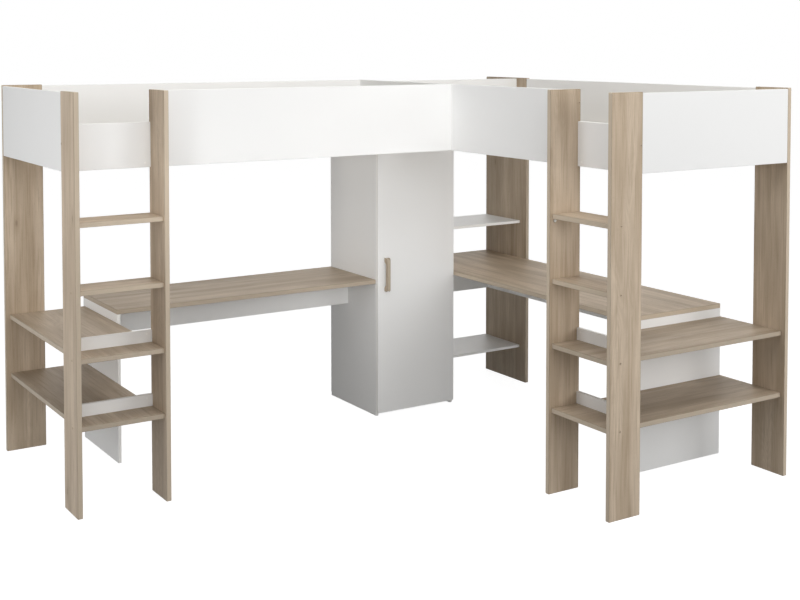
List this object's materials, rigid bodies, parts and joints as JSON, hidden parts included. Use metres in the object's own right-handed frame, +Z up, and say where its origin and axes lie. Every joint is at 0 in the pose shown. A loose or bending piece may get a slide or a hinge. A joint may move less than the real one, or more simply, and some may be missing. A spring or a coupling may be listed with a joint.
{
  "type": "high sleeper bed set",
  "caption": "L-shaped set of high sleeper beds with ladders, step shelves, desks under the beds and a shared wardrobe with a hinged door.",
  "frame": {"origin": "on the floor, under the middle of the set's overall box", "axes": "+X along the bed by the wall, from its ladder to the corner; +Y towards the wall; +Z up"},
  "size_m": [3.002, 2.357, 1.832],
  "materials": {
    "wood_decor": "greyed oak decor foil with soft streaked grain, matt",
    "white_board": "white melamine, satin, fine pearl texture",
    "pine": "raw planed pine",
    "hinge_metal": "nickel-plated steel"
  },
  "bodies": {
    "carcass": {"a_ladder_post_outer": "wood_decor", "a_ladder_post_inner": "wood_decor", "a_back_post": "wood_decor", "a_foot_panel": "white_board", "a_entry_rail": "white_board", "a_front_rail": "white_board", "a_back_rail": "white_board", "a_head_panel": "white_board", "a_step_shelf_1": "wood_decor", "a_step_shelf_2": "wood_decor", "a_step_3": "wood_decor", "a_step_4": "wood_decor", "a_shelf_lip_1": "white_board", "a_shelf_lip_2": "white_board", "a_slat_support_front": "pine", "a_slat_support_back": "pine", "a_slat_deck": "pine", "a_desk_top": "wood_decor", "a_desk_side": "white_board", "a_desk_apron": "white_board", "b_ladder_post_outer": "wood_decor", "b_ladder_post_inner": "wood_decor", "b_back_post": "wood_decor", "b_foot_panel": "white_board", "b_entry_rail": "white_board", "b_front_rail": "white_board", "b_back_rail": "white_board", "b_head_panel": "white_board", "b_step_shelf_1": "wood_decor", "b_step_shelf_2": "wood_decor", "b_step_3": "wood_decor", "b_step_4": "wood_decor", "b_shelf_lip_1": "white_board", "b_shelf_lip_2": "white_board", "b_slat_support_front": "pine", "b_slat_support_back": "pine", "b_slat_deck": "pine", "b_desk_top": "wood_decor", "b_desk_side": "white_board", "b_corner_apron": "white_board", "b_long_apron": "white_board", "corner_post": "wood_decor", "corner_shelf_low": "white_board", "corner_shelf_high": "white_board", "wardrobe_side_left": "white_board", "wardrobe_side_right": "white_board", "wardrobe_bottom": "white_board", "wardrobe_top": "white_board", "wardrobe_shelf": "white_board", "wardrobe_back": "white_board", "hanging_rail": "hinge_metal", "hinge_arm_1": "hinge_metal", "hinge_arm_2": "hinge_metal", "hinge_arm_3": "hinge_metal"},
    "door": {"wardrobe_door": "white_board", "door_handle": "wood_decor", "hinge_cup_1": "hinge_metal", "hinge_cup_2": "hinge_metal", "hinge_cup_3": "hinge_metal"}
  },
  "joints": [
    {"name": "wardrobe_door_hinge", "type": "hinge", "parent": "carcass", "child": "door", "pos_m": [0.8715, 0.6625, 0.74825], "axis": [0, 0, 1], "range_deg": [0, 85]}
  ]
}
